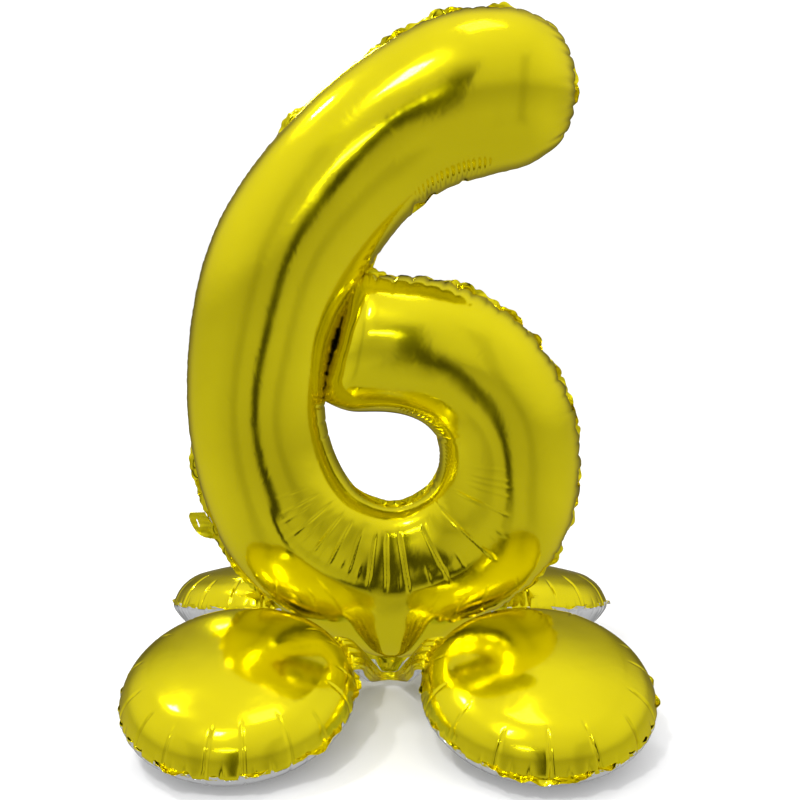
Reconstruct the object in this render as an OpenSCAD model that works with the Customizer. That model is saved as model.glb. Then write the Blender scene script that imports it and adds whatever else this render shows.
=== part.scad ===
// Free-standing foil number balloon: an air-filled figure six whose lower edge is
// welded to two folded two-lobed foil bases, one in front and one behind.
// Frame: +Z up, floor at z = 0, the figure faces -Y, the origin is on the floor
// under the middle of the figure. All lengths are in millimetres.

/* [Film] */
// Drawn thickness of one foil ply
ply = 0.8; // [0.5:0.1:1.2]
// Width of the heat-sealed border outside the seam
seal_w = 5; // [4:0.5:6]

/* [Figure] */
// Plumpness of the tube: 1 is the nominal inflation
plump = 1.00; // [0.9:0.02:1.04]
// Points across one film of the tube
across = 12; // [10:2:14]
// Interpolated steps between two stations of the outline
steps = 2; // [2:1:3]

/* [Base lobes] */
// Seam radius of an inflated lobe
lobe_r = 111; // [109:1:112]
// Rise of the gold film above the seam plane
lobe_top = 46; // [42:1:47]
// Drop of the silver film below the seam plane
lobe_bottom = 48; // [47:1:49]
// Sideways distance from the middle to a lobe's centre
lobe_x = 146; // [144:1:148]
// Front or back distance from the middle to a lobe's centre
lobe_y = 122; // [121:1:124]
// Slope of a lobe, falling away from the figure
lobe_tilt = 16; // [15:0.5:17]
// Height of a lobe's centre over the floor
lobe_z = 51.5; // [51:0.5:52]

/* [Joining] */
// Width of the joining tab where it meets the figure
tab_head = 34; // [30:1:36]
// Width of the joining tab between the necks
tab_foot = 18; // [14:1:20]
// Height of the lower edge of the joining tab
tab_low = 10; // [9:0.5:12]

/* [Inflation] */
// Width of a base tail
tail_w = 28; // [24:1:32]
// Free length of a base tail
tail_len = 32; // [28:1:34]
// Width of the flat self-closing valve sleeve
sleeve_w = 20; // [16:1:22]
// Length of the sleeve inside its chamber
sleeve_len = 80; // [60:5:90]
// Thickness of one sleeve ply
sleeve_ply = 0.12; // [0.1:0.01:0.12]
// Length of the ribbon slit in the figure's tail
slit_len = 8; // [6:1:10]

/* [Hidden] */
$fn = 96;

gold = [0.80, 0.73, 0.02];
silver = [0.80, 0.81, 0.84];
clear_film = [0.90, 0.92, 0.95, 0.6];

// ---------------------------------------------------------------- figure six
// Stations of the figure: seam point on the concave side, then seam point on the
// convex side, then half depth over half width, as [x, z, x, z, share of plump]. They
// run from the tip of the arm, down the left side, under the opening and back up to
// the flat end of the bowl. The tube is squeezed where it settles between the lobes.
stations = [
    [ 116, 562,  106, 711, 0.80],
    [  93, 555,   76, 710, 0.80],
    [  70, 549,   46, 702, 0.80],
    [  46, 538,   14, 687, 0.80],
    [  24, 522,  -14, 670, 0.80],
    [   6, 504,  -42, 651, 0.80],
    [ -10, 484,  -70, 628, 0.80],
    [ -23, 464,  -97, 602, 0.80],
    [ -35, 442, -122, 574, 0.80],
    [ -46, 418, -146, 543, 0.80],
    [ -56, 392, -169, 506, 0.80],
    [ -64, 366, -187, 462, 0.80],
    [ -70, 340, -199, 414, 0.80],
    [ -73, 314, -206, 362, 0.80],
    [ -71, 292, -208, 310, 0.80],
    [ -66, 272, -204, 262, 0.80],
    [ -59, 253, -195, 218, 0.80],
    [ -49, 235, -180, 175, 0.78],
    [ -36, 220, -156, 133, 0.73],
    [ -20, 210, -117,  96, 0.62],
    [  -3, 205,  -58,  64, 0.56],
    [  14, 206,    2,  35, 0.54],
    [  31, 213,   63,  63, 0.54],
    [  45, 224,  119,  95, 0.56],
    [  54, 240,  165, 137, 0.64],
    [  58, 257,  190, 188, 0.74],
    [  57, 275,  198, 242, 0.79],
    [  51, 290,  193, 298, 0.80],
    [  39, 302,  172, 350, 0.80],
    [  22, 310,  137, 397, 0.80],
    [   2, 314,   88, 430, 0.80],
    [ -18, 314,   43, 444, 0.80],
    [ -38, 312,    0, 446, 0.80]
];
seam_gap = 0.15; // half of the bond line between the two films
tip_len = 68;   // rounded end of the arm beyond its first station
tip_pow = 2.2;
end_len = 31;   // flat end of the bowl beyond its last station
end_pow = 4;
end_border = 2; // narrow border at the flat end, carried on by the web

function cr(a, b, c, d, t) = 0.5 * ((2 * b) + (c - a) * t
    + (2 * a - 5 * b + 4 * c - d) * t * t + (3 * b - a - 3 * c + d) * t * t * t);
function st(i) = stations[max(0, min(len(stations) - 1, i))];
function smooth_stations() = [
    for (i = [0 : len(stations) - 2]) for (k = [0 : steps - 1])
        cr(st(i - 1), st(i), st(i + 1), st(i + 2), k / steps),
    stations[len(stations) - 1]
];
// one ring record: [centre x, centre z, normal x, normal z, half width, half depth, border half width]
function ring_of(s) = let (dx = s[2] - s[0], dz = s[3] - s[1], l = norm([dx, dz]))
    [(s[0] + s[2]) / 2, (s[1] + s[3]) / 2, dx / l, dz / l, l / 2, plump * s[4] * l / 2, l / 2 + seal_w];
// rounded ends: sgn +1 runs on beyond the last station, -1 runs back before the first
function cap(s, sgn, length, border, pw, n) = let (r = ring_of(s), tx = -r[3] * sgn, tz = r[2] * sgn)
    [for (k = [1 : n]) let (a = 90 * k / n, u = (length + border) * sin(a) * 0.9995,
            q = u < length ? pow(1 - pow(u / length, pw), 1 / pw) : 0,
            e = pow(1 - pow(u / (length + border), pw), 1 / pw))
        [r[0] + tx * u, r[1] + tz * u, r[2], r[3], max(r[4] * q, 0.3), max(r[5] * q, ply + 0.3), max(r[6] * e, 1.3)]];
function reversed(v) = [for (i = [len(v) - 1 : -1 : 0]) v[i]];
rings = concat(
    reversed(cap(stations[0], -1, tip_len, seal_w, tip_pow, 8)),
    [for (s = smooth_stations()) ring_of(s)],
    cap(stations[len(stations) - 1], 1, end_len, end_border, end_pow, 6));

// closed section of one film: dome outside, dome inside, border at both sides
function section(r) = let (w = r[4], h = r[5], e = r[6], g = seam_gap, t = seam_gap + ply,
        wi = max(w - ply, 0.1), hi = max(h - t, 0.05)) concat(
    [[-e, t]],
    [for (i = [0 : across]) let (a = -90 + 180 * i / across) [w * sin(a), t + (h - t) * cos(a)]],
    [[e, t], [e, g]],
    [for (i = [0 : across]) let (a = 90 - 180 * i / across) [wi * sin(a), g + hi * cos(a)]],
    [[-e, g]]);
module film(side) {
    m = len(section(rings[0]));
    n = len(rings);
    pts = [for (r = rings) for (p = section(r)) [r[0] + r[2] * p[0], side * p[1], r[1] + r[3] * p[0]]];
    fcs = concat(
        [[for (j = [0 : m - 1]) j]],
        [for (i = [0 : n - 2]) for (j = [0 : m - 1]) each
            [[i * m + j, (i + 1) * m + j, i * m + (j + 1) % m],
             [i * m + (j + 1) % m, (i + 1) * m + j, (i + 1) * m + (j + 1) % m]]],
        [[for (j = [m - 1 : -1 : 0]) (n - 1) * m + j]]);
    polyhedron(points = pts, faces = side < 0 ? [for (f = fcs) reversed(f)] : fcs, convexity = 8);
}

// ---------------------------------------------------------------- filling tails
// local frame of a tail: +X runs out of the chamber, Y across the tail, Z through its plies
sleeve_gap = 0.01;
module ply_plate(s) { translate([0, 0, s > 0 ? 0.05 : -0.05 - ply]) linear_extrude(ply) children(); }
module sleeve_ply_solid(s) {
    translate([-sleeve_len, -sleeve_w / 2, s > 0 ? sleeve_gap : -sleeve_gap - sleeve_ply])
        cube([sleeve_len - 0.5, sleeve_w, sleeve_ply]);
}

// figure: a short curled tail at the lower left of the bowl, with a slit for the ribbon
figure_tail = [[0.6, -17], [15, -24], [18, -21], [20, -15], [20, -9], [19, -3], [17, 2],
               [14, 7], [10, 11], [6, 14], [0.6, 17]];
tail_gap = 1.4; // bare film between the sealed border and the tail, where it flexes
module at_number_tail() { translate([-190, 0, 184]) rotate([0, 152, 0]) rotate([90, 0, 0]) children(); }
module figure_tail_ply(s) {
    ply_plate(s) translate([tail_gap, 0]) difference() {
        polygon(figure_tail);
        translate([13, -10]) rotate(6) square([1.4, slit_len], center = true);
    }
}
// base: a square-ended tail folded down between the front and the back lobes
module base_tail_ply(s) { ply_plate(s) translate([0.8, -tail_w / 2]) square([tail_len, tail_w]); }

// ---------------------------------------------------------------- base lobes
// half profile of one lobe film, in [radius, height]
function lobe_rise(r, h, n, p) = [for (i = [0 : n]) let (a = 90 * i / n) [r * sin(a), h * pow(cos(a), p)]];
full = 0.92;  // the upper film is domed
slack = 1.5;  // the lower film tapers in from the seam to the foot
module lobe_film(h, p) {
    o = lobe_rise(lobe_r, h - ply, 12, p);
    i = lobe_rise(lobe_r - ply, h - ply, 12, p);
    rotate_extrude() polygon(concat(
        [for (p = o) [p[0], p[1] + ply + seam_gap]],
        [[lobe_r + seal_w, ply + seam_gap], [lobe_r + seal_w, seam_gap]],
        [for (k = [12 : -1 : 0]) [i[k][0], i[k][1] + seam_gap]]));
}
module lobe_outer(h, p) {
    o = lobe_rise(lobe_r, h - ply, 12, p);
    rotate_extrude() polygon(concat([for (p = o) [p[0], p[1] + ply]], [[0, ply]]));
}
// sx: -1 left, +1 right; sy: -1 front, +1 back
module at_lobe(sx, sy) { translate([sx * lobe_x, sy * lobe_y, lobe_z]) rotate([-sy * lobe_tilt, 0, 0]) children(); }
// the filling sleeve leaves a lobe at the highest point of its seam
module at_seam(sx, sy) { at_lobe(sx, sy) rotate([0, 0, -90 * sy]) translate([lobe_r + seal_w, 0, 0]) children(); }
module gold_lobe(sx, sy) { at_lobe(sx, sy) lobe_film(lobe_top, full); }
module silver_lobe(sx, sy) {
    difference() {
        at_lobe(sx, sy) mirror([0, 0, 1]) lobe_film(lobe_bottom, slack);
        translate([sx * lobe_x - 130, sy * lobe_y - 130, -20]) cube([260, 260, 20]);
    }
    intersection() {
        at_lobe(sx, sy) mirror([0, 0, 1]) lobe_outer(lobe_bottom, slack);
        translate([sx * lobe_x - 130, sy * lobe_y - 130, 0]) cube([260, 260, ply]);
    }
}

// ---------------------------------------------------------------- necks and joining tab
// the tab laps over the sealed border at the foot of the figure and hangs between the necks
module tab() {
    difference() {
        translate([0, tab_t, 0]) rotate([90, 0, 0]) linear_extrude(2 * tab_t)
            polygon([[-tab_foot / 2, tab_low], [tab_foot / 2, tab_low], [tab_foot / 2, tab_low + 8],
                     [tab_head / 2, 34.5], [-tab_head / 2, 34.5], [-tab_foot / 2, tab_low + 8]]);
        translate([-30, -ply - 0.2, 29.6]) cube([60, 2 * ply + 0.4, 10]);
    }
}
tab_t = 1.5;
// right half of the front neck, from the weld to the lobe:
// [centre, direction across the gathered film, half width, half thickness]
neck_path = [
    [[ 0,  -3.9, 14.0], [0.00, 0.00, 1.00],  4.8, 1.3],
    [[ 9,  -6.0, 15.0], [0.00, 0.12, 0.99],  5.4, 1.9],
    [[17, -21.0, 26.0], [0.12, 0.40, 0.91], 10.0, 4.0],
    [[24, -38.0, 39.0], [0.28, 0.58, 0.76], 15.0, 6.0],
    [[32, -53.0, 54.0], [0.38, 0.70, 0.60], 19.0, 7.0],
    [[38, -66.0, 66.0], [0.46, 0.80, 0.39], 23.0, 8.5]
];
nk = len(neck_path);
function unit(v) = v / norm(v);
function flip(p, sx, sy) = [sx * p[0], -sy * p[1], p[2]];
function neck_in(i) = i == 0 ? [-1, 0, 0] : unit(neck_path[i - 1][0] - neck_path[min(i + 1, nk - 1)][0]);
// gold lies on the front and upper side of the gathered tube, silver towards the tab and the floor
function neck_ring(i, sy, gold_side) = let (p = neck_path[abs(i)], sx = i < 0 ? -1 : 1,
        wide = unit(p[1]), up = unit(cross(wide, neck_in(abs(i)))) * (gold_side ? 1 : -1),
        c = flip(p[0], sx, sy), d = flip(wide, sx, sy), n = flip(up, sx, sy), k = 8) concat(
    [for (j = [0 : k]) let (a = 180 * j / k) c + d * (p[2] * cos(a)) + n * (0.03 + p[3] * sin(a))],
    [for (j = [k : -1 : 0]) let (a = 180 * j / k)
        c + d * ((p[2] - ply) * cos(a)) + n * (0.03 + (p[3] - ply) * sin(a))]);
module neck(sy, gold_side) {
    k = 8;
    m = 2 * k + 2;
    n = 2 * nk - 1;
    last = (n - 1) * m;
    pts = [for (i = [1 - nk : nk - 1]) each neck_ring(i, sy, gold_side)];
    fcs = concat([for (j = [0 : k - 1]) [j, j + 1, m - 2 - j, m - 1 - j]],
        [for (i = [0 : n - 2]) for (j = [0 : m - 1]) each
            [[i * m + j, (i + 1) * m + j, i * m + (j + 1) % m],
             [i * m + (j + 1) % m, (i + 1) * m + j, (i + 1) * m + (j + 1) % m]]],
        [for (j = [0 : k - 1]) [last + m - 1 - j, last + m - 2 - j, last + j + 1, last + j]]);
    turn = (sy < 0) == gold_side;
    polyhedron(points = pts, faces = turn ? fcs : [for (f = fcs) reversed(f)], convexity = 6);
}

// frame of a base tail: it leaves the seam's highest edge and hangs straight down
module at_base_tail(sx, sy) {
    translate([sx * lobe_x, sy * (lobe_y - (lobe_r + seal_w) * cos(lobe_tilt)) - sy * 1.6,
               lobe_z + (lobe_r + seal_w) * sin(lobe_tilt) - 1])
        rotate([0, 90, 0]) rotate([sy * 90, 0, 0]) children();
}

color(gold) film(-1);  // number_front_film
color(gold) film(1);  // number_back_film
color(clear_film) at_number_tail() sleeve_ply_solid(1);  // number_valve_front_ply
color(clear_film) at_number_tail() sleeve_ply_solid(-1);  // number_valve_back_ply
color(gold) at_number_tail() figure_tail_ply(1);  // number_tail_front_ply
color(gold) at_number_tail() figure_tail_ply(-1);  // number_tail_back_ply
color(gold) tab();  // joining_tab
color(gold) neck(-1, true);  // front_neck_gold_film
color(silver) neck(-1, false);  // front_neck_silver_film
color(gold) neck(1, true);  // back_neck_gold_film
color(silver) neck(1, false);  // back_neck_silver_film
color(gold) gold_lobe(-1, -1);  // front_left_gold_film
color(silver) silver_lobe(-1, -1);  // front_left_silver_film
color(gold) gold_lobe(1, -1);  // front_right_gold_film
color(silver) silver_lobe(1, -1);  // front_right_silver_film
color(gold) gold_lobe(-1, 1);  // back_left_gold_film
color(silver) silver_lobe(-1, 1);  // back_left_silver_film
color(gold) gold_lobe(1, 1);  // back_right_gold_film
color(silver) silver_lobe(1, 1);  // back_right_silver_film
color(clear_film) at_seam(1, -1) sleeve_ply_solid(1);  // front_valve_upper_ply
color(clear_film) at_seam(1, -1) sleeve_ply_solid(-1);  // front_valve_lower_ply
color(clear_film) at_seam(-1, 1) sleeve_ply_solid(1);  // back_valve_upper_ply
color(clear_film) at_seam(-1, 1) sleeve_ply_solid(-1);  // back_valve_lower_ply
color(gold) at_base_tail(1, -1) base_tail_ply(1);  // front_tail_gold_ply
color(silver) at_base_tail(1, -1) base_tail_ply(-1);  // front_tail_silver_ply
color(gold) at_base_tail(-1, 1) base_tail_ply(1);  // back_tail_gold_ply
color(silver) at_base_tail(-1, 1) base_tail_ply(-1);  // back_tail_silver_ply
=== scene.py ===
# Foil figure-six balloon on its four-lobed base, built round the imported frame.
import math
import bpy
import numpy as np
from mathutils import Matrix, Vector


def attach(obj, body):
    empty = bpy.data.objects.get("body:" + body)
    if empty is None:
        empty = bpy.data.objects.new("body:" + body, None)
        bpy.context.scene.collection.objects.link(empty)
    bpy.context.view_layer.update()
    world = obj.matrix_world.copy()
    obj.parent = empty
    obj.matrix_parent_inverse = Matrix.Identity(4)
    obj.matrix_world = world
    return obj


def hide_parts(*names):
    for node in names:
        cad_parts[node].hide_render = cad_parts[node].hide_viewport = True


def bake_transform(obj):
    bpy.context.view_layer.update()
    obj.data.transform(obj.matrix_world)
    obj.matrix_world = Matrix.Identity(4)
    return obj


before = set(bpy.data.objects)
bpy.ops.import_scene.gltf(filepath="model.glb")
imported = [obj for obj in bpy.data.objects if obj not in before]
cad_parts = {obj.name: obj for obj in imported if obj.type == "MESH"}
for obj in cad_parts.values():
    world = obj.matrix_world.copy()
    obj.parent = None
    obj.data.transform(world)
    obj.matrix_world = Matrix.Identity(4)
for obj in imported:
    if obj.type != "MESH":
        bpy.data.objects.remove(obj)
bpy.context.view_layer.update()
RNG = np.random.default_rng(20)


# ------------------------------------------------------------------ small helpers
def smooth(x, a, b):
    t = np.clip((x - a) / (b - a), 0, 1)
    return t * t * (3 - 2 * t)


def unit(v):
    return v / np.maximum(np.linalg.norm(v, axis=-1, keepdims=True), 1e-12)


def wander(n, step, seed, periodic=False):
    """A smooth random line of n values between -1 and 1 that changes about every step samples."""
    r = np.random.default_rng(seed)
    k = max(4, int(round(n / step)))
    v = r.uniform(-1, 1, k + 3)
    if periodic:
        v[k:] = v[:3]
    t = np.arange(n) * (k / n)
    i = t.astype(int)
    f = t - i
    f = f * f * (3 - 2 * f)
    return v[i] * (1 - f) + v[i + 1] * f


def beat(n, period, jitter, seed):
    """A running phase whose period wanders round the given one: both in samples."""
    p = period * (1 + jitter * wander(n, period * 1.3, seed))
    return np.cumsum(2 * np.pi / p)


# ------------------------------------------------------------------ film solver
def pair_sets(P, R):
    """Distance rows of one grid: (slice a, slice b, rest, stretch share, squeeze share)."""
    out = []
    for axis in (0, 1):
        n = P.shape[axis]
        for par in (0, 1):
            a = [slice(None)] * 2
            b = [slice(None)] * 2
            a[axis] = slice(par, n - 1, 2)
            b[axis] = slice(par + 1, n, 2)
            rest = R[axis][tuple([slice(par, None, 2) if k == axis else slice(None) for k in (0, 1)])]
            m = (n - par) // 2
            rest = rest[tuple([slice(0, m) if k == axis else slice(None) for k in (0, 1)])]
            out.append((tuple(a), tuple(b), rest, 1.0, 0.75))
    for sgn in (0, 1):
        for par in (0, 1):
            n = P.shape[0]
            m = (n - par) // 2
            ia, ib = slice(par, n - 1, 2), slice(par + 1, n, 2)
            ja, jb = (slice(0, -1), slice(1, None)) if sgn == 0 else (slice(1, None), slice(0, -1))
            rest = R[2 + sgn][par::2][:m]
            out.append(((ia, ja), (ib, jb), rest, 0.8, 0.35))
    return out


def bend_sets(P, R2, share):
    out = []
    for axis in (0, 1):
        n = P.shape[axis]
        for par in (0, 1):
            ids = np.array([i for i in range(n - 2) if (i // 2) % 2 == par], int)
            a = (ids, slice(None)) if axis == 0 else (slice(None), ids)
            b = (ids + 2, slice(None)) if axis == 0 else (slice(None), ids + 2)
            rest = R2[axis][ids] if axis == 0 else R2[axis][:, ids]
            out.append((a, b, rest, 0.0, share))
    return out


def project(P, sets):
    for a, b, rest, ks, kc in sets:
        A = P[a]
        B = P[b]
        d = B - A
        L = np.sqrt(np.einsum("...k,...k->...", d, d)) + 1e-9
        e = (L - rest) / L
        e *= np.where(e > 0, ks, kc) * 0.5
        d *= e[..., None]
        P[a] = A + d
        P[b] = B - d


def rests(P, ei, ej):
    """Rest lengths of a grid from its target shape, longer along i and j by 1+ei and 1+ej (given per node)."""
    def avg0(e): return 0.5 * (e[1:] + e[:-1])
    def avg1(e): return 0.5 * (e[:, 1:] + e[:, :-1])
    di = P[1:] - P[:-1]
    dj = P[:, 1:] - P[:, :-1]
    Li = np.linalg.norm(di, axis=-1) * (1 + avg0(ei))
    Lj = np.linalg.norm(dj, axis=-1) * (1 + avg1(ej))
    li, lj = 0.5 * (Li[:, 1:] + Li[:, :-1]), 0.5 * (Lj[1:] + Lj[:-1])
    ui, uj = unit(0.5 * (di[:, 1:] + di[:, :-1])), unit(0.5 * (dj[1:] + dj[:-1]))
    c = np.einsum("ijk,ijk->ij", ui, uj)
    D1 = np.sqrt(np.maximum(li ** 2 + lj ** 2 + 2 * li * lj * c, 1e-9))
    D2 = np.sqrt(np.maximum(li ** 2 + lj ** 2 - 2 * li * lj * c, 1e-9))
    R2i = np.linalg.norm(P[2:] - P[:-2], axis=-1) * (1 + 0.5 * (ei[2:] + ei[:-2]))
    R2j = np.linalg.norm(P[:, 2:] - P[:, :-2], axis=-1) * (1 + 0.5 * (ej[:, 2:] + ej[:, :-2]))
    return (Li, Lj, D1, D2), (R2i, R2j)


def grid_normals(P):
    """Unit normals of a grid, from central differences."""
    di = np.empty_like(P)
    dj = np.empty_like(P)
    di[1:-1] = P[2:] - P[:-2]
    di[0], di[-1] = P[1] - P[0], P[-1] - P[-2]
    dj[:, 1:-1] = P[:, 2:] - P[:, :-2]
    dj[:, 0], dj[:, -1] = P[:, 1] - P[:, 0], P[:, -1] - P[:, -2]
    return unit(np.cross(di, dj))


# ------------------------------------------------------------------ figure six: target shape (millimetres)
STATIONS = np.array([
    [116, 562, 106, 711, 0.80], [93, 555, 76, 710, 0.80], [70, 549, 46, 702, 0.80], [46, 538, 14, 687, 0.80],
    [24, 522, -14, 670, 0.80], [6, 504, -42, 651, 0.80], [-10, 484, -70, 628, 0.80], [-23, 464, -97, 602, 0.80],
    [-35, 442, -122, 574, 0.80], [-46, 418, -146, 543, 0.80], [-56, 392, -169, 506, 0.80],
    [-64, 366, -187, 462, 0.80], [-70, 340, -199, 414, 0.80], [-73, 314, -206, 362, 0.80],
    [-71, 292, -208, 310, 0.80], [-66, 272, -204, 262, 0.80], [-59, 253, -195, 218, 0.80],
    [-49, 235, -180, 175, 0.78], [-36, 220, -156, 133, 0.73], [-20, 210, -117, 96, 0.62], [-3, 205, -54, 57, 0.55],
    [14, 206, 3, 37, 0.52], [31, 213, 58, 56, 0.53], [45, 224, 119, 95, 0.56], [54, 240, 165, 137, 0.64],
    [58, 257, 190, 188, 0.74], [57, 275, 198, 242, 0.79], [51, 290, 193, 298, 0.80], [39, 302, 172, 350, 0.80],
    [22, 310, 137, 397, 0.80], [2, 314, 88, 430, 0.80], [-18, 314, 43, 444, 0.80], [-38, 312, 0, 446, 0.80]], float)


def catmull(S, n):
    out = []
    for i in range(len(S) - 1):
        a, b, c, d = (S[max(0, min(len(S) - 1, i + k))] for k in (-1, 0, 1, 2))
        for k in range(n):
            t = k / n
            out.append(0.5 * ((2 * b) + (c - a) * t + (2 * a - 5 * b + 4 * c - d) * t * t
                              + (3 * b - a - 3 * c + d) * t ** 3))
    out.append(S[-1])
    return np.array(out)


def figure_target(step, cols):
    """Front film target: grid (rows, cols, 3) with y <= 0, plus the first row after the arm's tip cap and the last row
    before the flat end's cap.
    """
    fine = catmull(STATIONS, 12)
    mid = 0.5 * (fine[:, :2] + fine[:, 2:4])
    s = np.r_[0, np.cumsum(np.linalg.norm(np.diff(mid, axis=0), axis=1))]
    n = int(round(s[-1] / step))
    t = np.linspace(0, s[-1], n + 1)
    R = np.array([np.interp(t, s, fine[:, k]) for k in range(5)]).T
    for _ in range(10):
        R[1:-1, :2] = .25 * R[:-2, :2] + .5 * R[1:-1, :2] + .25 * R[2:, :2]
    A, B = R[:, :2], R[:, 2:4]
    w = 0.5 * np.linalg.norm(B - A, axis=1)
    h = w * R[:, 4]
    th = np.linspace(-np.pi / 2, np.pi / 2, cols + 1)
    q = np.sin(th)
    C = 0.5 * (A + B)
    N = unit(B - A)
    body = np.zeros((n + 1, cols + 1, 3))
    body[:, :, [0, 2]] = C[:, None] + N[:, None] * (w[:, None] * q[None])[..., None]
    body[:, :, 1] = -h[:, None] * np.cos(th)[None]

    def cap(r0, sgn, length, c, power, rows):
        T = np.array([-N[r0][1], N[r0][0]]) * sgn
        v = np.sin(np.linspace(0, np.pi / 2, rows + 1))[1:]
        X = q[None] * np.sqrt(1 - c * v[:, None] ** 2)
        Y = v[:, None] * np.sqrt(1 - c * q[None] ** 2)
        P = np.zeros((rows, cols + 1, 3))
        P[:, :, [0, 2]] = C[r0] + N[r0] * (w[r0] * X)[..., None] + T * (length * Y)[..., None]
        P[:, :, 1] = -h[r0] * np.sqrt(np.maximum((1 - q[None] ** 2) * (1 - v[:, None] ** power), 0))
        return P
    k0 = max(6, int(round(1.35 * 73 / step)))
    k1 = max(5, int(round(1.9 * 33 / step)))
    tip = cap(0, -1, 73, 0.58, 2.0, k0)[::-1]
    end = cap(len(C) - 1, 1, 33, 0.16, 3.0, k1)
    P = np.concatenate([tip, body, end])
    return P, k0, len(P) - 1 - k1


def loop_of(I, J):
    """The boundary of an (I, J) grid as index arrays, once round."""
    i = np.r_[np.arange(0, I - 1), np.full(J - 1, I - 1), np.arange(I - 1, 0, -1), np.zeros(J - 1, int)]
    j = np.r_[np.zeros(I - 1, int), np.arange(0, J - 1), np.full(I - 1, J - 1), np.arange(J - 1, 0, -1)]
    return i, j


def inflate_figure(step=5.4, cols=38, steps=240):
    """Front film, back film and seam border of the figure, settled under pressure. Millimetres."""
    P0, ka, kb = figure_target(step, cols)
    I, J = P0.shape[:2]
    li, lj = loop_of(I, J)
    n = len(li)
    dj = np.linalg.norm(np.diff(P0, axis=1), axis=-1)
    u = np.concatenate([np.zeros((I, 1)), np.cumsum(dj, axis=1)], axis=1)
    d_in, d_out = u, u[:, -1:] - u
    di = np.linalg.norm(np.diff(P0, axis=0), axis=-1)
    s = np.concatenate([np.zeros((1, J)), np.cumsum(di, axis=0)], axis=0)
    d_tip, d_end = s, s[-1:] - s
    row = np.arange(I)
    t = np.clip((row - ka) / (kb - ka), 0, 1)                     # 0 at the tip of the arm, 1 at the flat end
    # how much spare film lies along the seam, by place
    out = np.interp(t, [0, .08, .2, .34, .48, .6, .66, .76, .86, 1], [.09, .07, .04, .035, .04, .06, .07, .08, .08, .08])
    inn = np.interp(t, [0, .1, .2, .34, .40, 1], [.07, .05, .02, .015, .01, .01])
    wid = np.interp(t, [0, .2, .40, 1], [14, 12, 10, 10])
    ei = out[:, None] * np.exp(-d_out / 20) + inn[:, None] * np.exp(-(np.maximum(d_in - 8, 0) / wid[:, None]) ** 2)
    ej = .13 * np.exp(-d_tip / 20) * (row < ka + 4)[:, None] + .10 * np.exp(-d_end / 16) * (row > kb - 3)[:, None]
    R, R2 = rests(P0, ei, ej)
    # seam border: a closed strip of three columns that starts on the seam
    seam0 = P0[li, lj].copy()
    seam0[:, 1] = 0
    tan = unit(np.roll(seam0, -1, 0) - np.roll(seam0, 1, 0))
    outw = np.stack([-tan[:, 2], np.zeros(n), tan[:, 0]], axis=1)
    k = int(np.argmin(np.abs(li - I // 2) + np.abs(lj)))
    if outw[k] @ (P0[I // 2, 0] - P0[I // 2, J // 2]) < 0:
        outw = -outw
    S0 = seam0[:, None] + outw[:, None] * np.array([0, 2.6, 5.2])[None, :, None]
    e_seam = ei[li, lj] * ((lj == 0) | (lj == J - 1)) + ej[li, lj] * ((li == 0) | (li == I - 1))
    Sx = np.concatenate([S0, S0[:2]])                             # two rows again, to close the strip
    es = np.concatenate([e_seam, e_seam[:2]])[:, None] * np.ones((1, 3))
    RS, RS2 = rests(Sx, es, es * 0)
    F, B, S = P0.copy(), P0 * np.array([1, -1, 1]), Sx.copy()
    T_F, T_B = F.copy(), B.copy()
    sf = -np.sign(grid_normals(F)[I // 2, J // 2, 1])             # +1 where the grid's normal already points out
    sb = np.sign(grid_normals(B)[I // 2, J // 2, 1])
    # first ripples
    rip = np.cos(beat(n, 17 / step, .35, 3)) * (.6 + .4 * wander(n, 9, 4, True))
    S[:, :, 1] += np.concatenate([rip, rip[:2]])[:, None] * np.array([.5, 1.3, 1.9])[None]
    for G, seed in ((F, 5), (B, 6)):
        r = np.random.default_rng(seed).normal(0, .35, (I, J))
        G += grid_normals(G) * (r * np.exp(-np.minimum(d_in, d_out) / 40))[..., None]
    sets_f = pair_sets(F, R) + bend_sets(F, R2, .06)
    sets_b = pair_sets(B, R) + bend_sets(B, R2, .06)
    sets_s = pair_sets(S, RS) + bend_sets(S, RS2, .25)
    vF, vB, vS = (np.zeros_like(x) for x in (F, B, S))
    hold = (.004 + .030 * smooth(np.minimum(d_in, d_out), 25, 70))[..., None]
    for it in range(steps):
        push = .22 if it < steps * .7 else .12
        a, b, c = F.copy(), B.copy(), S.copy()
        F += .90 * vF + grid_normals(F) * (sf * push) + (T_F - F) * hold
        B += .90 * vB + grid_normals(B) * (sb * push) + (T_B - B) * hold
        S += .85 * vS + (Sx - S) * .012
        for _ in range(2):
            project(F, sets_f)
            project(B, sets_b)
            project(S, sets_s)
            S[:2] = 0.5 * (S[:2] + S[-2:])
            m = (F[li, lj] + B[li, lj] + S[:n, 0]) / 3
            F[li, lj] = m
            B[li, lj] = m
            S[:n, 0] = m
            S[-2:] = S[:2]
        np.minimum(F[2:-2, 2:-2, 1], -.2, out=F[2:-2, 2:-2, 1])
        np.maximum(B[2:-2, 2:-2, 1], .2, out=B[2:-2, 2:-2, 1])
        vF, vB, vS = F - a, B - b, S - c
    return F, B, S[:n], (li, lj), (ka, kb), (sf, sb)


# ------------------------------------------------------------------ lobe: target shape and inflation (millimetres)
LOBE_R, BORDER, LOBE_TOP, LOBE_LOW = 111.0, 5.0, 46.0, 47.5
LOBE_X, LOBE_Y, LOBE_Z, LOBE_TILT = 146.0, 122.0, 51.5, math.radians(16)


def lobe_target(h, turns, rings):
    a = np.linspace(0, np.pi / 2, rings + 1)[1:]
    th = np.arange(turns + 2) * (2 * np.pi / turns)
    r = LOBE_R * np.sin(a)
    z = h * np.maximum(np.cos(a), 0) ** .92
    P = np.zeros((turns + 2, rings, 3))
    P[..., 0] = np.cos(th)[:, None] * r[None]
    P[..., 1] = np.sin(th)[:, None] * r[None]
    P[..., 2] = z[None]
    return P


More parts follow.
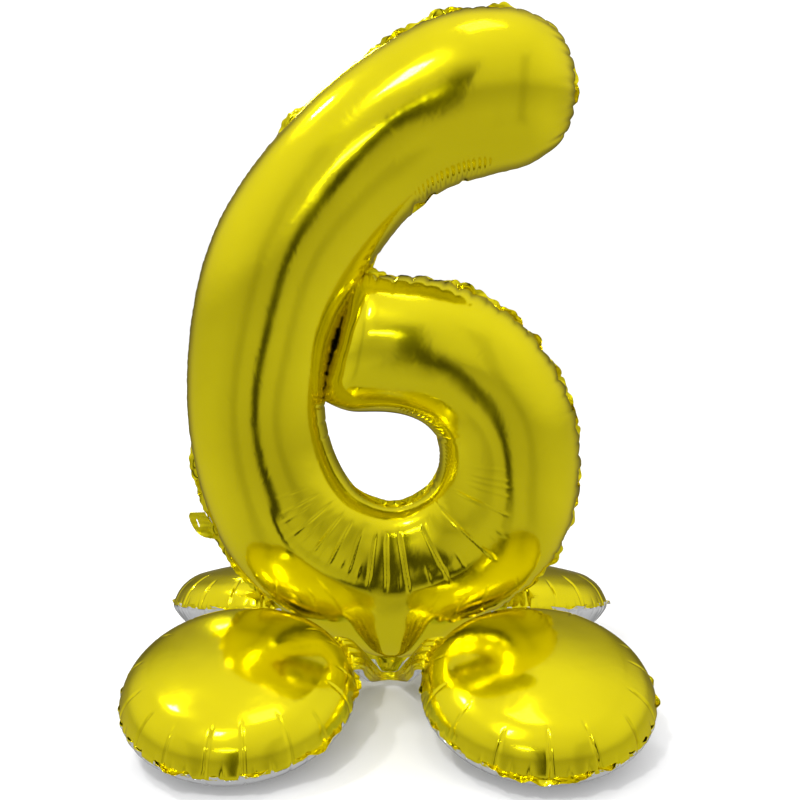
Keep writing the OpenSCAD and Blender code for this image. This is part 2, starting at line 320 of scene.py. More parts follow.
def inflate_lobe(seed, turns=168, rings=30, steps=220):
    T, Bt = lobe_target(LOBE_TOP, turns, rings), lobe_target(-LOBE_LOW, turns, rings)
    Bt[..., 2] = -LOBE_LOW * (np.abs(Bt[..., 2]) / LOBE_LOW) ** (1.5 / .92)
    th = np.arange(turns + 2) * (2 * np.pi / turns)
    S0 = np.stack([np.stack([np.cos(th) * r, np.sin(th) * r, 0 * th], axis=1)
                   for r in (LOBE_R, LOBE_R + BORDER / 2, LOBE_R + BORDER)], axis=1)
    d = np.concatenate([np.zeros((turns + 2, 1)), np.cumsum(np.linalg.norm(np.diff(T, axis=1), axis=-1), axis=1)], axis=1)
    d = d[:, -1:] - d
    ei = .06 * np.exp(-d / 12)
    R, R2 = rests(T, ei, ei * 0)
    RB, RB2 = rests(Bt, ei, ei * 0)
    es = ei[:, -1:] * np.ones((1, 3))
    RS, RS2 = rests(S0, es, es * 0)
    F, B, S = T.copy(), Bt.copy(), S0.copy()
    sf, sb = np.sign(grid_normals(F)[5, 5, 2]), -np.sign(grid_normals(B)[5, 5, 2])
    rip = np.cos(beat(turns, turns / 42, .3, seed))
    rip = np.r_[rip, rip[:2]]
    S[:, :, 2] += rip[:, None] * np.array([.4, 1.2, 1.8])[None]
    folds = np.cos(beat(turns, turns / 17, .45, seed + 1))
    folds = np.r_[folds, folds[:2]]
    rr = np.random.default_rng(seed + 2)
    for G, sg, k in ((F, sf, 1), (B, sb, .8)):
        noise = rr.normal(0, .25, (turns + 2, rings))
        noise[-2:] = noise[:2]
        G += grid_normals(G) * (sg * (noise + .1 * k * folds[:, None]) * np.exp(-d / 36))[..., None]
    sets_f = pair_sets(F, R) + bend_sets(F, R2, .06)
    sets_b = pair_sets(B, RB) + bend_sets(B, RB2, .06)
    sets_s = pair_sets(S, RS) + bend_sets(S, RS2, .25)
    vF, vB, vS = (np.zeros_like(x) for x in (F, B, S))
    hold = (.004 + .05 * smooth(d, 30, 75))[..., None]
    for it in range(steps):
        push = .20 if it < steps * .7 else .10
        a, b, c = F.copy(), B.copy(), S.copy()
        F += .90 * vF + grid_normals(F) * (sf * push) + (T - F) * hold
        B += .90 * vB + grid_normals(B) * (sb * push) + (Bt - B) * hold
        S += .85 * vS + (S0 - S) * .012
        for _ in range(2):
            for G, st in ((F, sets_f), (B, sets_b), (S, sets_s)):
                project(G, st)
                G[:2] = 0.5 * (G[:2] + G[-2:])
                G[-2:] = G[:2]
            m = (F[:, -1] + B[:, -1] + S[:, 0]) / 3
            F[:, -1] = m
            B[:, -1] = m
            S[:, 0] = m
        vF, vB, vS = F - a, B - b, S - c
    return F[:-2], B[:-2], S[:-2], (sf, sb)


# ------------------------------------------------------------------ grids to meshes
def finer(P, axis, periodic=False):
    """One cubic midpoint refinement along an axis."""
    P = np.moveaxis(P, axis, 0)
    n = len(P)
    if periodic:
        m = (-np.roll(P, 1, 0) + 9 * P + 9 * np.roll(P, -1, 0) - np.roll(P, -2, 0)) / 16
        out = np.empty((2 * n,) + P.shape[1:])
        out[0::2], out[1::2] = P, m
    else:
        e = np.concatenate([(2 * P[:1] - P[1:2]), P, (2 * P[-1:] - P[-2:-1])])
        m = (-e[:-3] + 9 * e[1:-2] + 9 * e[2:-1] - e[3:]) / 16
        out = np.empty((2 * n - 1,) + P.shape[1:])
        out[0::2], out[1::2] = P, m
    return np.moveaxis(out, 0, axis)


def eased(P, weight, rounds, periodic=False):
    """Light smoothing of a grid's inside, by weight per node."""
    w = weight[1:-1, 1:-1, None] if not periodic else weight[:, 1:-1, None]
    for _ in range(rounds):
        if periodic:
            m = .25 * (np.roll(P, 1, 0) + np.roll(P, -1, 0))[:, 1:-1] + .25 * (P[:, 2:] + P[:, :-2])
            P[:, 1:-1] += (m - P[:, 1:-1]) * w
        else:
            m = .25 * (P[2:, 1:-1] + P[:-2, 1:-1] + P[1:-1, 2:] + P[1:-1, :-2])
            P[1:-1, 1:-1] += (m - P[1:-1, 1:-1]) * w
    return P


def grid_faces(I, J, start=0, periodic=False, flip=False):
    n = I if periodic else I - 1
    i, j = np.meshgrid(np.arange(n), np.arange(J - 1), indexing="ij")
    i2 = (i + 1) % I
    q = np.stack([i * J + j, i2 * J + j, i2 * J + j + 1, i * J + j + 1], axis=-1).reshape(-1, 4) + start
    return q[:, ::-1] if flip else q


def build(name, verts_mm, faces, material, smooth_faces=True, thick=None, inward=True):
    me = bpy.data.meshes.new(name)
    me.from_pydata((np.asarray(verts_mm) * .001).tolist(), [], [list(map(int, f)) for f in faces])
    me.validate()
    me.update()
    if smooth_faces:
        me.polygons.foreach_set("use_smooth", [True] * len(me.polygons))
    me.materials.append(material)
    ob = bpy.data.objects.new(name, me)
    bpy.context.scene.collection.objects.link(ob)
    if thick:
        mod = ob.modifiers.new("ply", "SOLIDIFY")
        mod.thickness = thick * .001
        mod.offset = -1 if inward else 0
        mod.use_even_offset = False
        apply_all(ob)
    return ob


def apply_all(ob):
    dg = bpy.context.evaluated_depsgraph_get()
    me = bpy.data.meshes.new_from_object(ob.evaluated_get(dg), preserve_all_data_layers=True, depsgraph=dg)
    ob.modifiers.clear()
    old = ob.data
    me.name = old.name
    ob.data = me
    bpy.data.meshes.remove(old)


def film_from(G, strip, loop, flip, ply_shift, axis):
    """Vertices and faces of one film: its grid plus its own layer of the border strip."""
    I, J = G.shape[:2]
    li, lj = loop
    n = len(li)
    G = G.copy()
    strip = strip[:, 1:].copy()
    G[li, lj, axis] += ply_shift
    strip[..., axis] += ply_shift
    V = np.concatenate([G.reshape(-1, 3), strip.reshape(-1, 3)])
    faces = [grid_faces(I, J, 0, False, flip)]
    k = np.arange(n)
    k2 = (k + 1) % n
    seam, c = li * J + lj, strip.shape[1]
    first = I * J
    q = [np.stack([seam[k], seam[k2], first + k2 * c, first + k * c], axis=1)]
    for m in range(c - 1):
        q.append(np.stack([first + k * c + m, first + k2 * c + m, first + k2 * c + m + 1, first + k * c + m + 1], axis=1))
    q = np.concatenate(q)
    return V, faces[0], q


def facing(V, quads, want):
    """Quads turned so that each looks along want (one vector or one per quad)."""
    a, b, c = V[quads[:, 0]], V[quads[:, 1]], V[quads[:, 2]]
    nrm = np.cross(b - a, c - b)
    bad = np.einsum("ij,ij->i", nrm, np.broadcast_to(want, nrm.shape)) < 0
    quads = quads.copy()
    quads[bad] = quads[bad][:, ::-1]
    return quads


# ------------------------------------------------------------------ materials
def node(tree, kind, **sets):
    n = tree.nodes.new(kind)
    for k, v in sets.items():
        if k.startswith("in_"):
            n.inputs[k[3:].replace("_", " ")].default_value = v
        else:
            setattr(n, k, v)
    return n


def foil(name, tint, deep, rough=(.10, .19), wrinkle=.15, seed=0.0, coat=.28, edge=(.82, .75, .01)):
    """Vacuum-metallised film: mirror metal with a faint tint drift, haze patches and fine handling wrinkles."""
    m = bpy.data.materials.new(name)
    m.use_nodes = True
    t = m.node_tree
    t.nodes.clear()
    out = node(t, "ShaderNodeOutputMaterial")
    sh = node(t, "ShaderNodeBsdfPrincipled")
    sh.inputs["Metallic"].default_value = 1.0
    sh.inputs["Specular IOR Level"].default_value = 0.5
    sh.inputs["Coat Weight"].default_value = coat
    sh.inputs["Coat Roughness"].default_value = 0.07
    sh.inputs["Specular Tint"].default_value = (*edge, 1)
    t.links.new(sh.outputs[0], out.inputs[0])
    co = node(t, "ShaderNodeTexCoord")
    mp = node(t, "ShaderNodeMapping")
    mp.inputs["Location"].default_value = (seed, seed * .7, -seed)
    t.links.new(co.outputs["Object"], mp.inputs["Vector"])
    big = node(t, "ShaderNodeTexNoise", in_Scale=7.0, in_Detail=3.0, in_Roughness=.55)
    t.links.new(mp.outputs[0], big.inputs["Vector"])
    ramp = node(t, "ShaderNodeValToRGB")
    ramp.color_ramp.elements[0].position, ramp.color_ramp.elements[1].position = .36, .66
    ramp.color_ramp.elements[0].color, ramp.color_ramp.elements[1].color = (*deep, 1), (*tint, 1)
    t.links.new(big.outputs["Fac"], ramp.inputs["Fac"])
    t.links.new(ramp.outputs["Color"], sh.inputs["Base Color"])
    haze = node(t, "ShaderNodeTexNoise", in_Scale=19.0, in_Detail=4.0, in_Roughness=.6)
    t.links.new(mp.outputs[0], haze.inputs["Vector"])
    mr = node(t, "ShaderNodeMapRange")
    mr.inputs["From Min"].default_value, mr.inputs["From Max"].default_value = .3, .7
    mr.inputs["To Min"].default_value, mr.inputs["To Max"].default_value = rough
    t.links.new(haze.outputs["Fac"], mr.inputs["Value"])
    t.links.new(mr.outputs[0], sh.inputs["Roughness"])
    # handling wrinkles a few millimetres to a centimetre across, and the film's own fine grain
    crease = node(t, "ShaderNodeTexNoise", in_Scale=38.0, in_Detail=2.0, in_Roughness=.5, in_Distortion=.6)
    t.links.new(mp.outputs[0], crease.inputs["Vector"])
    grain = node(t, "ShaderNodeTexNoise", in_Scale=900.0, in_Detail=2.0)
    t.links.new(mp.outputs[0], grain.inputs["Vector"])
    b1 = node(t, "ShaderNodeBump", in_Strength=wrinkle, in_Distance=.0016)
    t.links.new(crease.outputs["Fac"], b1.inputs["Height"])
    b2 = node(t, "ShaderNodeBump", in_Strength=.05, in_Distance=.0002)
    t.links.new(grain.outputs["Fac"], b2.inputs["Height"])
    t.links.new(b1.outputs[0], b2.inputs["Normal"])
    t.links.new(b2.outputs[0], sh.inputs["Normal"])
    return m


def clear_sleeve(name):
    m = bpy.data.materials.new(name)
    m.use_nodes = True
    t = m.node_tree
    sh = t.nodes["Principled BSDF"]
    sh.inputs["Transmission Weight"].default_value = .85
    sh.inputs["IOR"].default_value = 1.49
    no = node(t, "ShaderNodeTexNoise", in_Scale=60.0, in_Detail=3.0)
    ramp = node(t, "ShaderNodeValToRGB")
    ramp.color_ramp.elements[0].color, ramp.color_ramp.elements[1].color = (.80, .84, .88, 1), (.92, .95, .97, 1)
    t.links.new(no.outputs["Fac"], ramp.inputs["Fac"])
    t.links.new(ramp.outputs["Color"], sh.inputs["Base Color"])
    mr = node(t, "ShaderNodeMapRange")
    mr.inputs["To Min"].default_value, mr.inputs["To Max"].default_value = .12, .35
    t.links.new(no.outputs["Fac"], mr.inputs["Value"])
    t.links.new(mr.outputs[0], sh.inputs["Roughness"])
    b = node(t, "ShaderNodeBump", in_Strength=.2, in_Distance=.0003)
    t.links.new(no.outputs["Fac"], b.inputs["Height"])
    t.links.new(b.outputs[0], sh.inputs["Normal"])
    return m


GOLD = foil("gold_foil", (.86, .795, .002), (.80, .73, .001), seed=1.3)
GOLD_BASE = foil("gold_foil_base", (.86, .795, .002), (.80, .73, .001), seed=5.1)
GOLD_SEAL = foil("gold_foil_gathered", (.85, .785, .002), (.77, .70, .001), rough=(.16, .32), wrinkle=.5, seed=8.4)
SILVER = foil("silver_foil", (.85, .90, .93), (.77, .83, .87), rough=(.12, .24), seed=3.7, edge=(.92, .96, .98))
CLEAR = clear_sleeve("clear_valve_film")


# ------------------------------------------------------------------ creases
def along(line):
    """Running length of a polyline (millimetres)."""
    return np.r_[0, np.cumsum(np.linalg.norm(np.diff(line, axis=0), axis=1))]


def spots(total, period, jitter, seed, around=False):
    """Places of creases along a length: period is a number or a function of place."""
    r = np.random.default_rng(seed)
    out, x = [], 0.0
    while x < total:
        p = period(x) if callable(period) else period
        x += p * (1 + jitter * r.uniform(-1, 1))
        out.append(x)
    out = np.array(out)
    return out * (total / out[-1]) if around else out[out < total]


def notch(s, places, width, depths=None, total=None):
    """Sum of narrow grooves at places, along running length s."""
    g = np.zeros_like(s)
    for k, p in enumerate(places):
        d = s - p
        if total:
            d = (d + total / 2) % total - total / 2
        g = np.maximum(g, (1.0 if depths is None else depths[k]) * np.exp(-np.abs(d / width) ** 1.5))
    return g


# ------------------------------------------------------------------ pieces
def crisp(ob, degrees=48):
    ob.data.set_sharp_from_angle(angle=math.radians(degrees))


def done(ob, body, slot_name, *nodes):
    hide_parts(*nodes)
    if body:
        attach(ob, body)
    return ob


PLY, SHIFT = .30, .38


def crease_figure(G, S, out_y, ka, kb):
    """Heat-seal gathers of one film: fine along the outside of the arm, bold round the bowl, radial round the eye."""
    I, J = G.shape[:2]
    N = grid_normals(G)
    if N[I // 2, J // 2, 1] * out_y < 0:
        N = -N
    xz = G[:, :, [0, 2]]
    r_in = np.linalg.norm(xz - xz[:, :1], axis=-1)
    dj = np.linalg.norm(np.diff(G, axis=1), axis=-1)
    u = np.concatenate([np.zeros((I, 1)), np.cumsum(dj, axis=1)], axis=1)
    d_in, d_out = u, u[:, -1:] - u
    di = np.linalg.norm(np.diff(G, axis=0), axis=-1)
    v = np.concatenate([np.zeros((1, J)), np.cumsum(di, axis=0)], axis=0)
    d_end = v[-1:] - v
    row = np.arange(I)
    t = np.clip((row - ka) / (kb - ka), 0, 1)
    seed = 60 if out_y < 0 else 90
    # outside seam
    so = along(G[:, -1])
    t_at = lambda x: float(np.interp(x, so, t))
    per = lambda x: float(np.interp(t_at(x), [0, .08, .16, .5, .6, .68, 1], [15, 15, 9, 9.5, 14, 17, 18]))
    pl = spots(so[-1], per, .22, 3)
    rr = np.random.default_rng(4)
    g = notch(so, pl, 1.25, rr.uniform(.55, 1, len(pl)))
    wide = notch(so, pl, 3.2)
    size = np.interp(t, [0, .1, .2, .5, .62, .7, .85, 1], [1.9, 1.6, .7, .7, 1.3, 2.1, 2.1, 2.3])
    reach = np.interp(t, [0, .1, .2, .5, .62, .7, .85, 1], [12, 10, 7, 7, 10, 14, 16, 22])[:, None]
    D = -(size * g)[:, None] * np.exp(-(d_out / reach) ** 2)
    D += (.45 * size * (1 - wide))[:, None] * np.exp(-(d_out / (reach * 1.1)) ** 2) * smooth(d_out, 0, 4)
    # a second, sparser set of longer gathers on the bowl's shoulder
    pl2 = spots(so[-1], 31, .35, 9)
    g2 = notch(so, pl2, 1.6, np.random.default_rng(6).uniform(.2, 1, len(pl2)))
    D -= (g2 * np.interp(t, [0, .1, .6, .7, 1], [.5, .2, .15, .6, .6]))[:, None] * np.exp(-(d_out / 20) ** 2)
    # ribs under the tip of the arm
    si = along(G[:, 0])
    rib = notch(si, spots(si[-1], 5.4, .15, 12), 1.2, None)
    D -= (rib * .9 * smooth(t, .012, .03) * (1 - smooth(t, .085, .105)))[:, None] * smooth(d_in, 14, 22) * (1 - smooth(d_in, 36, 44))
    # a band of fine ribs round the upper right of the eye
    rib = notch(si, spots(si[-1], 4.6, .2, 13), 1.0, None)
    D -= (rib * .5 * smooth(t, .76, .79) * (1 - smooth(t, .92, .95)))[:, None] * smooth(d_in, 17, 23) * (1 - smooth(d_in, 31, 38))
    # small gathers down the inside of the arm, beside the slit
    gin = notch(si, spots(si[-1], 13, .3, 14), 1.3, None)
    D -= (gin * 1.6 * smooth(t, .16, .24) * (1 - smooth(t, .42, .46)))[:, None] * np.exp(-(d_in / 20) ** 2)
    # radial gathers round the eye: direction in degrees, near end, far end (millimetres from its rim), depth
    eye = np.array([0.0, 262.0])
    lines = [(-43, 17, 98, 1.5), (-24, 20, 80, 1.2), (-15, 34, 74, .7), (-11, 34, 74, .7), (-7, 34, 72, .6), (-3, 36, 66, .4),
             (-56, 66, 82, .6), (-65, 22, 86, 1.3), (-81, 20, 84, 1.3), (-92, 24, 80, 1.1), (-100.5, 24, 78, 1.1),
             (-111, 26, 74, .9), (-121, 20, 76, 1.1), (-131, 18, 74, 1.1), (-138, 40, 70, .6), (-144, 20, 74, .9),
             (-151, 36, 72, .6), (-157, 30, 66, .6), (-163, 38, 62, .4), (-30, 72, 86, .5), (-33.5, 74, 90, .6), (-37, 70, 84, .5),
             (-86.5, 66, 80, .5), (-72, 64, 82, .5), (-105, 60, 76, .5), (-116, 58, 74, .5), (-126, 56, 72, .5)]
    rel = xz - eye
    ang = np.degrees(np.arctan2(rel[..., 1], rel[..., 0]))
    ang = np.where(ang > 60, ang - 360, ang)
    rad = np.linalg.norm(rel, axis=-1)
    near = (t > .40) & (t < .90)
    lim = ((ang > -190) & (ang < 20))[:, :] * near[:, None]
    rg = np.random.default_rng(seed + 1)
    for a0, r0, r1, dep in lines:
        a1 = a0 + rg.uniform(-1.2, 1.2) + (rg.uniform(-2, 2) if out_y > 0 else 0)
        side = (ang - a1 - .018 * (r_in - 40)) * math.pi / 180 * rad
        along_w = smooth(r_in, r0 - 4, r0 + 9) * (1 - smooth(r_in, r1 - 9, r1 + 2))
        D -= dep * .82 * np.exp(-np.abs(side / 1.15) ** 1.6) * along_w * lim
        # the film stands a little proud beside each gather
        D += dep * .16 * np.exp(-(side / 5.0) ** 2) * along_w * lim
    zone = smooth(ang, -166, -138) * (1 - smooth(ang, -66, -40)) * near[:, None]
    D -= 1.7 * zone * smooth(r_in, 14, 34) * (1 - smooth(r_in, 70, 80))
    D += .5 * zone * np.exp(-((r_in - 84) / 7) ** 2)
    # flat end of the bowl
    se = along(G[-1])
    ge = notch(se, spots(se[-1], 15, .25, 17), 1.5)
    D -= 2.2 * ge[None] * np.exp(-(d_end / 19) ** 2) * smooth(row, kb - 30, kb - 18)[:, None]
    D += .5 * (1 - notch(se, spots(se[-1], 15, .25, 17), 3.4))[None] * np.exp(-(d_end / 10) ** 2) * smooth(d_end, 0, 4) * (row > kb - 14)[:, None]
    # rounded tip of the arm
    st = along(G[0])
    tip = spots(st[-1], 13, .2, 19)
    d_tip = v
    D -= 2.1 * notch(st, tip, 1.5)[None] * np.exp(-(d_tip / 30) ** 2) * (1 - smooth(row, ka - 30, ka - 6))[:, None]
    D += .6 * (1 - notch(st, tip, 3.2))[None] * np.exp(-(d_tip / 11) ** 2) * smooth(d_tip, 0, 4) * (row < ka)[:, None]
    # very shallow unevenness that makes the reflections waver
    rn = np.random.default_rng(seed)
    D += .22 * np.sin(v / 31 + 2.0 * np.sin(u / 47)) * smooth(np.minimum(d_in, d_out), 8, 30)
    return G + N * D[..., None], (so, pl, st, tip, se, spots(se[-1], 15, .25, 17))


def make_figure():
    F, B, S, _, (ka, kb), (sf, sb) = inflate_figure(step=5.0, cols=30, steps=260)
    # the foot of the ring stands a little slimmer, clear of the lobes
    for G in (F, B, S):
        G[..., 1] *= 1 - .075 * (1 - smooth(G[..., 2], 95, 190))
        G[..., 2] += 5.5 * np.exp(-((G[..., 0] - 90) / 27) ** 2) * (1 - smooth(G[..., 2], 84, 135))
    w = np.full(F.shape[:2], .22)
    F, B = eased(F, w, 2), eased(B, w, 2)
    F, B = (finer(finer(finer(G, 0), 0), 1) for G in (F, B))
    ka, kb = ka * 4, kb * 4
    # the border strip takes its own refinement side by side, since the corners' spacing differs along and across
    I0, J0 = (F.shape[0] + 3) // 4, (F.shape[1] + 1) // 2
    n0 = [I0 - 1, J0 - 1, I0 - 1, J0 - 1]
    S2 = []
    at = 0
    Sc = np.concatenate([S, S[:1]])
    for k, m in enumerate(n0):
        part = Sc[at:at + m + 1]
        part = finer(part, 0)
        if k in (0, 2):
            part = finer(part, 0)
        S2.append(part[:-1])
        at += m
    S = finer(np.concatenate(S2), 1)
    S[..., 1] *= .6
    F, (so, pl, st, tip, se, ends) = crease_figure(F, S, -1, ka, kb)
    B, _ = crease_figure(B, S, 1, ka, kb)
    loop = loop_of(*F.shape[:2])
    seam = .5 * (F[loop] + B[loop])
    F[loop], B[loop] = seam, seam
    S[:, 0] = seam
    # scalloped edge: the border draws in at each gather and stands out between
    I, J = F.shape[:2]
    s_loop = np.zeros(len(seam))
    wide = np.ones(len(seam)) * .5
    first = I - 1 + J - 1                                      # the loop's third side runs back along the outside seam
    wide[first:first + I] = notch(so, pl, 3.4)[::-1][:I]
    wide[first + I - 1:first + I - 1 + J - 1] = notch(st, tip, 3.2)[::-1][:J - 1]
    wide[I - 1:I - 1 + J - 1] = notch(se, ends, 3.4)[:J - 1]
    outw = unit(S[:, -1] - S[:, 0]) * np.array([1, 0, 1])
    t_row = np.clip((np.arange(I) - ka) / (kb - ka), 0, 1)
    amp = np.full(len(seam), .5)
    amp[first:first + I] = np.interp(t_row, [0, .1, .2, .5, .62, .7, 1], [2.2, 2.0, 1.2, 1.2, 1.6, 2.4, 2.4])[::-1]
    amp[first + I - 1:] = 2.2
    amp[I - 1:I - 1 + J - 1] = 2.0
    f = np.linspace(0, 1, S.shape[1])[None, :, None]
    reach = np.zeros(len(seam))
    reach[first:first + I] = np.interp(t_row, [0, .1, .25, .5, .62, 1], [.6, 1.2, 2.2, 1.8, .8, .6])[::-1]
    S += outw[:, None] * (amp * (.5 - wide) * 1.3 + reach)[:, None, None] * f
    S[:, 0] = seam
    for name, G, out, flip, shift in (("number_front_skin", F, -1, sf < 0, -SHIFT), ("number_back_skin", B, 1, sb < 0, SHIFT)):
        V, q, strip = film_from(G, S, loop, flip, shift, 1)
        strip = facing(V, strip, np.array([0.0, out, 0.0]))
        ob = build(name, V, np.concatenate([q, strip]), GOLD, thick=PLY)
        crisp(ob)
        done(ob, "figure", "gold_film", "number_front_film" if out < 0 else "number_back_film")


def lobe_place(P, sx, sy):
    a = -sy * LOBE_TILT
    c, s = math.cos(a), math.sin(a)
    Q = P.copy()
    Q[..., 1] = P[..., 1] * c - P[..., 2] * s
    Q[..., 2] = P[..., 1] * s + P[..., 2] * c
    return Q + np.array([sx * LOBE_X, sy * LOBE_Y, LOBE_Z])


def make_lobe(name, sx, sy, sim, turn, mirror):
    F, B, S, (sf, sb) = sim
    F, B, S = F.copy(), B.copy(), S.copy()
    if mirror:
        for G in (F, B, S):
            G[..., 0] *= -1
        sf, sb = -sf, -sb
    c, s = math.cos(turn), math.sin(turn)
    for G in (F, B, S):
        x, y = G[..., 0].copy(), G[..., 1].copy()
        G[..., 0], G[..., 1] = x * c - y * s, x * s + y * c
    F, B = (finer(finer(finer(G, 0, True), 0, True), 1) for G in (F, B))
    S = finer(finer(finer(S, 0, True), 0, True), 1)
    n, m = F.shape[:2]
    th = np.arange(n) * (2 * math.pi / n)
    arc = th * LOBE_R
    total = 2 * math.pi * LOBE_R
    seed = int(1000 * turn) + 5
    small = spots(total, 15.5, .25, seed, True)
    bold = spots(total, 40, .28, seed + 1, True)
    r8 = np.random.default_rng(seed + 2)
    gs = notch(arc, small, 1.25, r8.uniform(.5, 1, len(small)), total)
    ws = notch(arc, small, 3.4, None, total)
    for G, out, deep in ((F, 1, 1.0), (B, -1, .8)):
        N = grid_normals(np.concatenate([G[-1:], G, G[:1]]))[1:-1]
        if N[5, 5, 2] * out < 0:
            N = -N
        dd = np.linalg.norm(np.diff(G, axis=1), axis=-1)
        d = np.concatenate([np.zeros((n, 1)), np.cumsum(dd, axis=1)], axis=1)
        d = d[:, -1:] - d
        D = -(1.1 * gs)[:, None] * np.exp(-(d / 8) ** 2) + (.45 * (1 - ws))[:, None] * np.exp(-(d / 9) ** 2) * smooth(d, 0, 3)
        shoulder = 50 + 3 * np.sin(3 * th + seed)[:, None]
        for k, p in enumerate(bold):
            off = (arc - p + total / 2) % total - total / 2
            off = off[:, None] * (1 - .0045 * (d - 0)) + .05 * r8.uniform(-1, 1) * d
            dep, end = r8.uniform(.8, 1.5), r8.uniform(40, 56)
            w = smooth(d, 0, 5) * (1 - smooth(d, end - 10, end))
            D -= deep * dep * np.exp(-np.abs(off / 1.2) ** 1.6) * w
            D += deep * dep * .15 * np.exp(-(off / 6) ** 2) * w
        D -= deep * .8 * smooth(d, 1, 12) * (1 - smooth(d, shoulder - 16, shoulder + 2))
        G += N * D[..., None]
    seam = .5 * (F[:, -1] + B[:, -1])
    F[:, -1], B[:, -1], S[:, 0] = seam, seam, seam
    outw = unit(S[:, -1] - S[:, 0]) * np.array([1, 1, 0])
    S += outw[:, None] * (1.9 * (.5 - ws))[:, None, None] * np.linspace(0, 1, S.shape[1])[None, :, None]
    S[:, 0] = seam
    for kind, G, out, flip, shift, mat in (("gold", F, 1, sf < 0, SHIFT, GOLD_BASE), ("silver", B, -1, sb < 0, -SHIFT, SILVER)):
        G, T = G.copy(), S[:, 1:].copy()
        G[:, -1, 2] += shift
        T[..., 2] += shift
        pole = G[:, 0].mean(0) + np.array([0, 0, out * .12])
        V = np.concatenate([G.reshape(-1, 3), T.reshape(-1, 3), pole[None]])
        q = grid_faces(n, m, 0, True, flip)
        k = np.arange(n)
        k2 = (k + 1) % n
        first, tc = n * m, T.shape[1]
        st = [np.stack([k * m + m - 1, k2 * m + m - 1, first + k2 * tc, first + k * tc], axis=1)]
        for e in range(tc - 1):
            st.append(np.stack([first + k * tc + e, first + k2 * tc + e, first + k2 * tc + e + 1, first + k * tc + e + 1], axis=1))
        st = facing(V, np.concatenate(st), np.array([0.0, 0.0, out]))
        W = lobe_place(V, sx, sy)
        if kind == "silver":
            z = W[:, 2]
            W[:, 2] = np.where(z < 1.2, .34 + .36 * np.exp(np.minimum(z - 1.2, 0) / 3.0) + 0 * z, z)
        fan = np.stack([k * m, k2 * m, np.full(n, len(V) - 1)], axis=1)
        a, b, c3 = V[fan[0, 0]], V[fan[0, 1]], V[fan[0, 2]]
        if np.cross(b - a, c3 - b)[2] * out < 0:
            fan = fan[:, ::-1]
        ob = build(f"{name}_{kind}_skin", W, [*q, *st, *fan], mat, thick=PLY)
        crisp(ob)
        done(ob, f"{name}_lobe", f"{kind}_film", f"{name}_{kind}_film")


# front right half of a neck, weld to lobe: centre, direction across, half width, half thickness (millimetres)
NECK = [((0, -3.9, 14), (0, 0, 1), 4.8, 1.3), ((9, -6, 15), (0, .12, .99), 5.4, 1.9),
        ((17, -21, 26), (.12, .40, .91), 10, 4), ((24, -38, 39), (.28, .58, .76), 15, 6),
        ((32, -53, 54), (.38, .70, .60), 19, 7), ((38, -66, 66), (.46, .80, .39), 23, 8.5)]


def make_neck(name, sx, sy, gold, seed):
    path = np.array([[*c, *unit(np.array(d, float)), w, t] for c, d, w, t in NECK])
    # carried on over the rim of the lobe, so that the film runs into the dome
    path = np.concatenate([path, [[52, -76, 70, .47, .84, .27, 27, 9.5], [66, -85, 76, .47, .84, .25, 31, 9.5]]])
    fine = catmull(path, 7)
    n = len(fine)
    rows = []
    cols = 44
    a = np.linspace(0, np.pi, cols + 1)
    gather = 6.5 + .8 * wander(cols + 1, 5, seed)
    ph = np.cumsum(gather) * .0 + beat(cols + 1, 6.2, .35, seed)
    flow = wander(n, 9, seed + 1)
    for i in range(n):
        p = fine[i]
        c, w_dir = p[:3], unit(p[3:6])
        inn = np.array([-1.0, 0, 0]) if i == 0 else unit(fine[i - 1][:3] - fine[min(i + 1, n - 1)][:3])
        up = unit(np.cross(w_dir, inn)) * (1 if gold else -1)
        s = i / (n - 1)
        r = np.cos(ph + 1.2 * flow[i] + 2.5 * s) + .45 * np.cos(1.9 * ph + 1.3 - 3 * s)
        amp = (.35 + 1.5 * smooth(s, .12, .45) * (1 - .55 * smooth(s, .72, 1.0))) * np.sin(a) ** .35
        T = p[7] * np.sin(a) * (.92 if gold else .85)
        P = c + w_dir * (p[6] * np.cos(a))[:, None] + up * (.12 + T + np.minimum(amp * r * .62, 1.6))[:, None]
        rows.append(P)
    P = np.array(rows)
    # over the lobe the film lies on its dome
    L = P.copy()
    f = np.array([1, -1, 1.0])
    q = L - np.array([LOBE_X, -LOBE_Y, LOBE_Z])
    al = -LOBE_TILT
    cc, ss = math.cos(al), math.sin(al)
    y, z = q[..., 1] * cc - q[..., 2] * ss, q[..., 1] * ss + q[..., 2] * cc
    rad = np.sqrt(q[..., 0] ** 2 + y ** 2)
    h = (LOBE_TOP if gold else LOBE_LOW) * np.sqrt(np.maximum(1 - (rad / LOBE_R) ** 2, 0)) ** .92
    over = smooth(-(rad - 116.5), 0, 5)
    rel = z if gold else -z
    goal = np.maximum(np.where(rad < 117, h + 1.1, rel), rel * 0 + 0)
    rel2 = rel * (1 - over) + np.maximum(goal, 1.3) * over
    zz = rel2 if gold else -rel2
    Q = np.stack([q[..., 0], y * cc + zz * ss, -y * ss + zz * cc], axis=-1) + np.array([LOBE_X, -LOBE_Y, LOBE_Z])
    P = Q * np.array([sx, -sy, 1.0])
    P = finer(finer(P, 0), 1)
    I, J = P.shape[:2]
    V = P.reshape(-1, 3)
    V[:, 2] = np.maximum(V[:, 2], .4)
    g = grid_normals(P)[I // 2, J // 2]
    want = np.array([-.9 * sx, .05 * sy, .43]) * (1 if gold else -1)
    flip = float(g @ want) < 0
    kind = "gold" if gold else "silver"
    fb = "front" if sy < 0 else "back"
    ob = build(name, V, grid_faces(I, J, 0, False, flip), GOLD_SEAL if gold else SILVER, thick=PLY)
    crisp(ob, 55)
    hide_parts(f"{fb}_neck_{kind}_film")
    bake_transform(ob)


